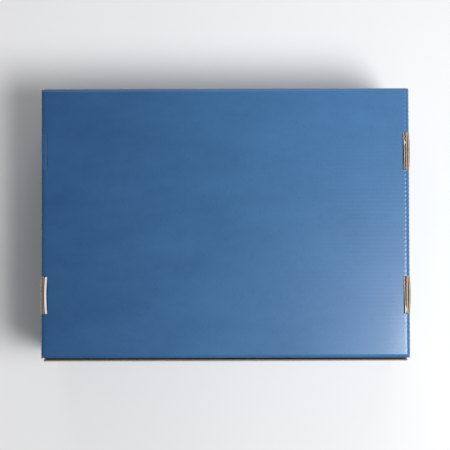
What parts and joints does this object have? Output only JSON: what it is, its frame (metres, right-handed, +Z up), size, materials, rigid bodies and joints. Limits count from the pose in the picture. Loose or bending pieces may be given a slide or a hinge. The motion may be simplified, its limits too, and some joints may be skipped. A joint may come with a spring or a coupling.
{
  "type": "archival box",
  "caption": "Folding roll-end storage box of printed corrugated board, shut, with hinged lid, outer cover flap, tucked dust flaps and tabs locked through the base.",
  "frame": {"origin": "on the surface the box lies on, in the middle of the box with its lid shut; the box lies on its lid", "axes": "+X along the box, -Y to the front where the cover flap hangs, +Y to the rear where the lid is hinged, +Z up, out of the base panel"},
  "size_m": [0.3, 0.222, 0.1],
  "materials": {
    "printed_board": "semi-gloss blue print on white liner, kraft inside",
    "kraft_board": "matt kraft liner, inner sides and cut edges"
  },
  "bodies": {
    "lid": {"lid_panel": "printed_board", "lid_rear_crease": "printed_board", "lid_front_crease": "printed_board", "lid_left_crease": "printed_board", "lid_right_crease": "printed_board"},
    "cover_flap": {"front_cover_flap": "printed_board"},
    "left_dust_flap": {"left_dust_flap": "printed_board"},
    "right_dust_flap": {"right_dust_flap": "printed_board"},
    "tray": {"base_front_crease": "printed_board", "base_left_crease": "printed_board", "base_panel": "printed_board", "base_rear_crease": "printed_board", "base_right_crease": "printed_board", "front_left_corner_crease": "kraft_board", "front_left_corner_flap": "kraft_board", "front_right_corner_crease": "kraft_board", "front_right_corner_flap": "kraft_board", "front_wall": "printed_board", "left_inner_wall": "printed_board", "left_outer_wall": "printed_board", "left_rim": "printed_board", "rear_left_corner_crease": "kraft_board", "rear_left_corner_flap": "kraft_board", "rear_right_corner_crease": "kraft_board", "rear_right_corner_flap": "kraft_board", "rear_wall": "printed_board", "right_inner_wall": "printed_board", "right_outer_wall": "printed_board", "right_rim": "printed_board", "slot_chip": "printed_board"}
  },
  "joints": [
    {"name": "lid_crease", "type": "hinge", "parent": "lid", "child": "tray", "pos_m": [0, 0.11095, 0], "axis": [-1, 0, 0], "range_deg": [0, 90]},
    {"name": "cover_flap_crease", "type": "hinge", "parent": "lid", "child": "cover_flap", "pos_m": [0, -0.11095, 0], "axis": [1, 0, 0], "range_deg": [0, 90]},
    {"name": "left_dust_flap_crease", "type": "hinge", "parent": "lid", "child": "left_dust_flap", "pos_m": [-0.1431, 0.00095, 0.0015], "axis": [0, 1, 0], "range_deg": [0, 88], "stiffness_Nm_per_rad": 0.012, "springref_deg": -34.38},
    {"name": "right_dust_flap_crease", "type": "hinge", "parent": "lid", "child": "right_dust_flap", "pos_m": [0.1431, 0.00095, 0.0015], "axis": [0, -1, 0], "range_deg": [0, 88], "stiffness_Nm_per_rad": 0.012, "springref_deg": -34.38}
  ]
}
